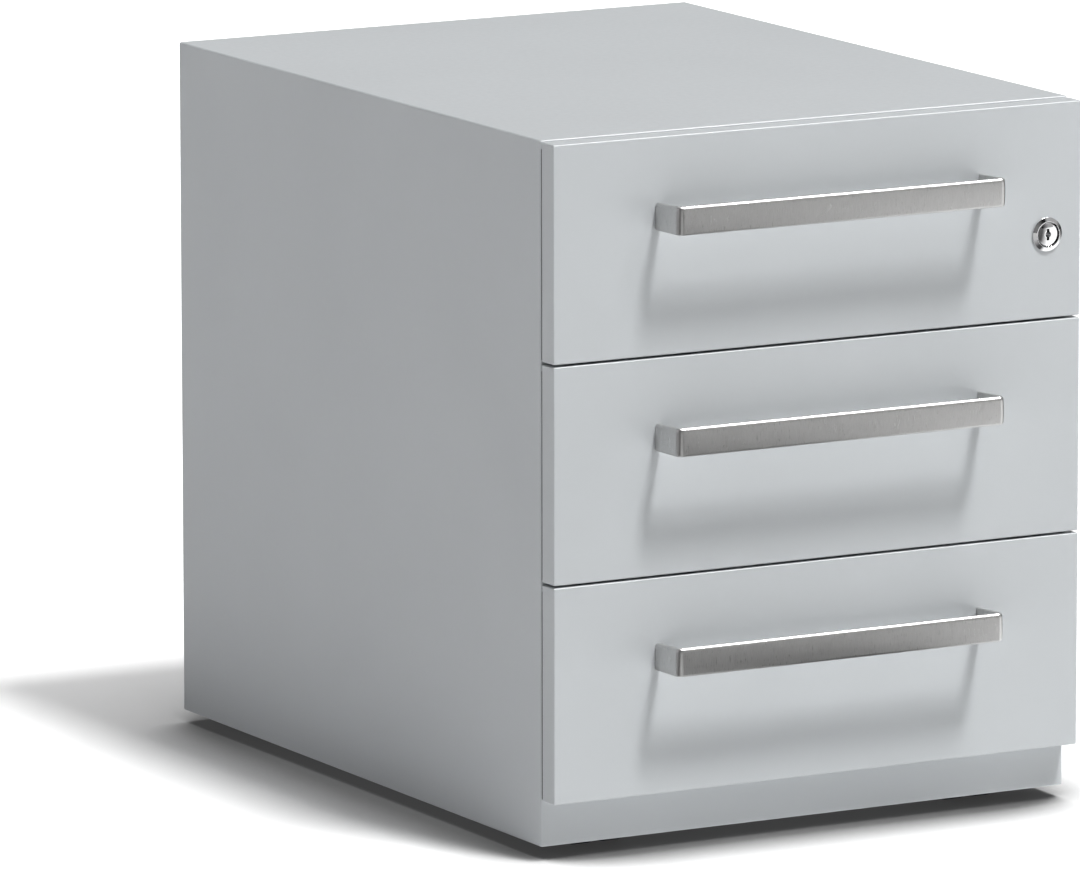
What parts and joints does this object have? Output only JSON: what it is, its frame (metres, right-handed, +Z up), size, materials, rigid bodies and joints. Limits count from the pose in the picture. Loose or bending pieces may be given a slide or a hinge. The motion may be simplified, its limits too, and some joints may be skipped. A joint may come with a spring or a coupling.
{
  "type": "rolling pedestal cabinet",
  "caption": "Under-desk steel pedestal cabinet with stacked equal drawers on ball slides, strip handles, a cam lock with lift bar, and hooded twin-wheel castors inside the plinth.",
  "frame": {"origin": "on the floor, under the centre of the whole object's bounding box (handles included)", "axes": "+Z up; the drawers open towards -Y; +X is the lock side"},
  "size_m": [0.42, 0.5874, 0.5],
  "materials": {
    "cabinet_paint": "light silver-grey powder coat, fine texture, satin",
    "handle_nickel": "satin nickel, fine vertical grain",
    "lock_chrome": "polished",
    "zinc_steel": "bright zinc plate",
    "castor_wheel": "moulded, satin",
    "castor_yoke": "moulded, fine texture",
    "counterweight_iron": "black oiled"
  },
  "bodies": {
    "carcass": {"carcass_shell": "cabinet_paint", "back_panel": "cabinet_paint", "base_panel": "cabinet_paint", "upright_front_left": "zinc_steel", "upright_front_right": "zinc_steel", "upright_rear_left": "zinc_steel", "upright_rear_right": "zinc_steel", "counterweight": "counterweight_iron", "top_slide_outer_left": "zinc_steel", "top_slide_outer_right": "zinc_steel", "middle_slide_outer_left": "zinc_steel", "middle_slide_outer_right": "zinc_steel", "bottom_slide_outer_left": "zinc_steel", "bottom_slide_outer_right": "zinc_steel", "castor_front_left_plate": "zinc_steel", "castor_front_right_plate": "zinc_steel", "castor_rear_left_plate": "zinc_steel", "castor_rear_right_plate": "zinc_steel"},
    "top_drawer": {"top_front": "cabinet_paint", "top_front_liner": "cabinet_paint", "top_tray": "cabinet_paint", "top_handle": "handle_nickel", "top_slide_inner_left": "zinc_steel", "top_slide_inner_right": "zinc_steel", "lock_housing": "lock_chrome"},
    "top_slide_middles": {"top_slide_middle_left": "zinc_steel", "top_slide_middle_right": "zinc_steel"},
    "middle_drawer": {"middle_front": "cabinet_paint", "middle_front_liner": "cabinet_paint", "middle_tray": "cabinet_paint", "middle_handle": "handle_nickel", "middle_slide_inner_left": "zinc_steel", "middle_slide_inner_right": "zinc_steel"},
    "middle_slide_middles": {"middle_slide_middle_left": "zinc_steel", "middle_slide_middle_right": "zinc_steel"},
    "bottom_drawer": {"bottom_front": "cabinet_paint", "bottom_front_liner": "cabinet_paint", "bottom_tray": "cabinet_paint", "bottom_handle": "handle_nickel", "bottom_slide_inner_left": "zinc_steel", "bottom_slide_inner_right": "zinc_steel"},
    "bottom_slide_middles": {"bottom_slide_middle_left": "zinc_steel", "bottom_slide_middle_right": "zinc_steel"},
    "lock_plug": {"lock_cylinder": "lock_chrome", "lock_cam": "zinc_steel"},
    "lock_bar": {"lock_bar": "zinc_steel"},
    "castor_front_left": {"castor_front_left_yoke": "castor_yoke"},
    "castor_front_left_wheel_left": {"castor_front_left_wheel_left": "castor_wheel"},
    "castor_front_left_wheel_right": {"castor_front_left_wheel_right": "castor_wheel"},
    "castor_front_right": {"castor_front_right_yoke": "castor_yoke"},
    "castor_front_right_wheel_left": {"castor_front_right_wheel_left": "castor_wheel"},
    "castor_front_right_wheel_right": {"castor_front_right_wheel_right": "castor_wheel"},
    "castor_rear_left": {"castor_rear_left_yoke": "castor_yoke"},
    "castor_rear_left_wheel_left": {"castor_rear_left_wheel_left": "castor_wheel"},
    "castor_rear_left_wheel_right": {"castor_rear_left_wheel_right": "castor_wheel"},
    "castor_rear_right": {"castor_rear_right_yoke": "castor_yoke"},
    "castor_rear_right_wheel_left": {"castor_rear_right_wheel_left": "castor_wheel"},
    "castor_rear_right_wheel_right": {"castor_rear_right_wheel_right": "castor_wheel"}
  },
  "joints": [
    {"name": "top_drawer_slide", "type": "slide", "parent": "carcass", "child": "top_drawer", "axis": [0, -1, 0], "range_m": [0, 0.4]},
    {"name": "top_middle_slide", "type": "slide", "parent": "carcass", "child": "top_slide_middles", "axis": [0, -1, 0], "range_m": [0, 0.2]},
    {"name": "middle_drawer_slide", "type": "slide", "parent": "carcass", "child": "middle_drawer", "axis": [0, -1, 0], "range_m": [0, 0.4]},
    {"name": "middle_middle_slide", "type": "slide", "parent": "carcass", "child": "middle_slide_middles", "axis": [0, -1, 0], "range_m": [0, 0.2]},
    {"name": "bottom_drawer_slide", "type": "slide", "parent": "carcass", "child": "bottom_drawer", "axis": [0, -1, 0], "range_m": [0, 0.4]},
    {"name": "bottom_middle_slide", "type": "slide", "parent": "carcass", "child": "bottom_slide_middles", "axis": [0, -1, 0], "range_m": [0, 0.2]},
    {"name": "lock_turn", "type": "hinge", "parent": "top_drawer", "child": "lock_plug", "pos_m": [0.1825, -0.24275, 0.4068], "axis": [0, -1, 0], "range_deg": [0, 90]},
    {"name": "lock_bar_lift", "type": "slide", "parent": "carcass", "child": "lock_bar", "axis": [0, 0, 1], "range_m": [0, 0.007]},
    {"name": "castor_front_left_swivel", "type": "hinge", "parent": "carcass", "child": "castor_front_left", "pos_m": [-0.15, -0.18975, 0.045], "axis": [0, 0, 1], "continuous": true},
    {"name": "castor_front_left_wheel_left_roll", "type": "hinge", "parent": "castor_front_left", "child": "castor_front_left_wheel_left", "pos_m": [-0.15, -0.20675, 0.02], "axis": [1, 0, 0], "continuous": true},
    {"name": "castor_front_left_wheel_right_roll", "type": "hinge", "parent": "castor_front_left", "child": "castor_front_left_wheel_right", "pos_m": [-0.15, -0.20675, 0.02], "axis": [1, 0, 0], "continuous": true},
    {"name": "castor_front_right_swivel", "type": "hinge", "parent": "carcass", "child": "castor_front_right", "pos_m": [0.15, -0.18975, 0.045], "axis": [0, 0, 1], "continuous": true},
    {"name": "castor_front_right_wheel_left_roll", "type": "hinge", "parent": "castor_front_right", "child": "castor_front_right_wheel_left", "pos_m": [0.15, -0.20675, 0.02], "axis": [1, 0, 0], "continuous": true},
    {"name": "castor_front_right_wheel_right_roll", "type": "hinge", "parent": "castor_front_right", "child": "castor_front_right_wheel_right", "pos_m": [0.15, -0.20675, 0.02], "axis": [1, 0, 0], "continuous": true},
    {"name": "castor_rear_left_swivel", "type": "hinge", "parent": "carcass", "child": "castor_rear_left", "pos_m": [-0.15, 0.24075, 0.045], "axis": [0, 0, 1], "continuous": true},
    {"name": "castor_rear_left_wheel_left_roll", "type": "hinge", "parent": "castor_rear_left", "child": "castor_rear_left_wheel_left", "pos_m": [-0.15, 0.22375, 0.02], "axis": [1, 0, 0], "continuous": true},
    {"name": "castor_rear_left_wheel_right_roll", "type": "hinge", "parent": "castor_rear_left", "child": "castor_rear_left_wheel_right", "pos_m": [-0.15, 0.22375, 0.02], "axis": [1, 0, 0], "continuous": true},
    {"name": "castor_rear_right_swivel", "type": "hinge", "parent": "carcass", "child": "castor_rear_right", "pos_m": [0.15, 0.24075, 0.045], "axis": [0, 0, 1], "continuous": true},
    {"name": "castor_rear_right_wheel_left_roll", "type": "hinge", "parent": "castor_rear_right", "child": "castor_rear_right_wheel_left", "pos_m": [0.15, 0.22375, 0.02], "axis": [1, 0, 0], "continuous": true},
    {"name": "castor_rear_right_wheel_right_roll", "type": "hinge", "parent": "castor_rear_right", "child": "castor_rear_right_wheel_right", "pos_m": [0.15, 0.22375, 0.02], "axis": [1, 0, 0], "continuous": true}
  ],
  "couplings": [
    {"joint": "top_middle_slide", "follows": "top_drawer_slide", "ratio": 0.5},
    {"joint": "middle_middle_slide", "follows": "middle_drawer_slide", "ratio": 0.5},
    {"joint": "bottom_middle_slide", "follows": "bottom_drawer_slide", "ratio": 0.5},
    {"joint": "lock_turn", "follows": "lock_bar_lift", "rad_per_m": 224.4}
  ]
}
